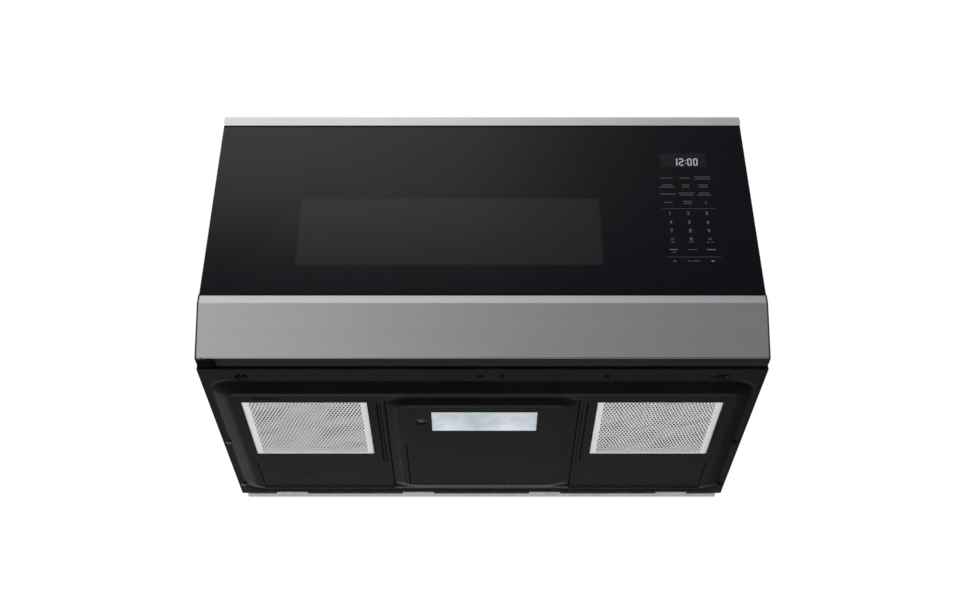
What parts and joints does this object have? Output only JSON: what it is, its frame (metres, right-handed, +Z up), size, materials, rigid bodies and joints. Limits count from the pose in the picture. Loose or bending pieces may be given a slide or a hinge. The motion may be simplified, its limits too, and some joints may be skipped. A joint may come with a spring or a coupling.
{
  "type": "over the range microwave",
  "caption": "Over-the-range microwave oven with a full-width hinged glass door, steel lower band, turntable, hood blower, grease filters and cooktop lamp.",
  "frame": {"origin": "middle of the footprint at the lowest pressing of the base", "axes": "+X to the right of someone facing the door, +Y back to the wall, +Z up"},
  "size_m": [0.759, 0.445, 0.414],
  "materials": {
    "black_paint": "satin black paint",
    "stainless": "brushed along its length",
    "black_glass": "gloss black, printed behind",
    "black_plastic": "moulded, matt",
    "galvanised": "zinc coated sheet steel",
    "enamel": "baked grey enamel",
    "aluminium": "bare",
    "clear_glass": "clear",
    "steel": "plated steel",
    "copper": "enamelled winding wire",
    "circuit_board": "solder mask",
    "motor_steel": "zinc coated",
    "white_plastic": "moulded",
    "rubber": "moulded",
    "charcoal": "carbon granules in a frame",
    "mica": "pressed mica"
  },
  "bodies": {
    "case": {"base_pan": "black_paint", "side_panels": "black_paint", "top_panel": "black_paint", "back_panel": "black_paint", "front_frame": "black_paint", "chassis_shelf": "galvanised", "vent_grille": "black_plastic", "top_trim": "stainless", "charcoal_filter": "charcoal", "cord_bushing": "rubber", "lower_hinge": "black_paint", "upper_hinge": "black_paint", "lamp_lens": "clear_glass", "lamp_housing": "galvanised", "lamp_board": "circuit_board", "cavity_shell": "enamel", "cavity_lamp": "galvanised", "turntable_motor": "motor_steel", "waveguide": "galvanised", "waveguide_cover": "mica", "magnetron": "steel", "transformer_core": "steel", "transformer_coils": "copper", "hv_capacitor": "aluminium", "power_board": "circuit_board", "cooling_fan_housing": "black_plastic", "cooling_fan_motor": "motor_steel", "blower_housing": "black_plastic", "blower_motor": "motor_steel", "latch_body": "black_plastic", "interlock_switches": "white_plastic", "mounting_plate": "galvanised", "case_screws": "steel"},
    "door": {"door_glass": "black_glass", "door_band": "stainless", "door_end_caps": "black_plastic", "door_frame": "black_plastic", "door_back_cover": "black_plastic", "door_panel": "galvanised", "door_screen": "galvanised", "inner_window": "clear_glass", "choke_cover": "black_plastic", "control_board": "circuit_board", "display_module": "circuit_board", "door_bushings": "white_plastic", "latch_spring": "steel"},
    "latch": {"latch_key": "black_plastic"},
    "turntable": {"turntable_tray": "clear_glass", "turntable_coupler": "white_plastic"},
    "roller_ring": {"roller_ring": "white_plastic"},
    "roller_1": {"roller_wheel_1": "white_plastic"},
    "roller_2": {"roller_wheel_2": "white_plastic"},
    "roller_3": {"roller_wheel_3": "white_plastic"},
    "blower": {"blower_rotor": "motor_steel"},
    "cooling_fan": {"cooling_fan_wheel": "black_plastic"},
    "filter_left": {"filter_frame_left": "aluminium", "filter_mesh_left": "aluminium"},
    "filter_right": {"filter_frame_right": "aluminium", "filter_mesh_right": "aluminium"},
    "switch_plungers": {"switch_plungers": "white_plastic"}
  },
  "joints": [
    {"name": "door_hinge", "type": "hinge", "parent": "case", "child": "door", "pos_m": [-0.3705, -0.1885, 0.206], "axis": [0, 0, -1], "range_deg": [0, 100]},
    {"name": "latch_key_slide", "type": "slide", "parent": "door", "child": "latch", "axis": [0, 0, 1], "range_m": [0, 0.004], "stiffness_N_per_m": 400, "springref_m": -0.004, "deforming": ["latch_spring"]},
    {"name": "turntable_spin", "type": "hinge", "parent": "case", "child": "turntable", "pos_m": [-0.045, 0.0088, 0.0788], "axis": [0, 0, 1], "continuous": true},
    {"name": "roller_ring_spin", "type": "hinge", "parent": "case", "child": "roller_ring", "pos_m": [-0.045, 0.0088, 0.0704], "axis": [0, 0, 1], "continuous": true},
    {"name": "roller_1_spin", "type": "hinge", "parent": "roller_ring", "child": "roller_1", "pos_m": [-0.045, 0.1088, 0.0704], "axis": [0, 1, 0], "continuous": true},
    {"name": "roller_2_spin", "type": "hinge", "parent": "roller_ring", "child": "roller_2", "pos_m": [-0.1316, -0.0412, 0.0704], "axis": [-0.866, -0.5, 0], "continuous": true},
    {"name": "roller_3_spin", "type": "hinge", "parent": "roller_ring", "child": "roller_3", "pos_m": [0.0416, -0.0412, 0.0704], "axis": [0.866, -0.5, 0], "continuous": true},
    {"name": "blower_spin", "type": "hinge", "parent": "case", "child": "blower", "pos_m": [0, 0.1525, 0.3652], "axis": [1, 0, 0], "continuous": true},
    {"name": "cooling_fan_spin", "type": "hinge", "parent": "case", "child": "cooling_fan", "pos_m": [0.3004, 0.1905, 0.268], "axis": [0, 1, 0], "continuous": true},
    {"name": "filter_left_slide", "type": "slide", "parent": "case", "child": "filter_left", "axis": [0, 1, 0], "range_m": [0, 0.012]},
    {"name": "filter_right_slide", "type": "slide", "parent": "case", "child": "filter_right", "axis": [0, 1, 0], "range_m": [0, 0.012]},
    {"name": "switch_plunger_slide", "type": "slide", "parent": "case", "child": "switch_plungers", "axis": [0, 1, 0], "range_m": [0, 0.0015], "stiffness_N_per_m": 300, "springref_m": -0.002}
  ],
  "couplings": [
    {"joint": "roller_ring_spin", "follows": "turntable_spin", "ratio": 0.5},
    {"joint": "roller_1_spin", "follows": "turntable_spin", "ratio": -6.25},
    {"joint": "roller_2_spin", "follows": "turntable_spin", "ratio": -6.25},
    {"joint": "roller_3_spin", "follows": "turntable_spin", "ratio": -6.25}
  ]
}
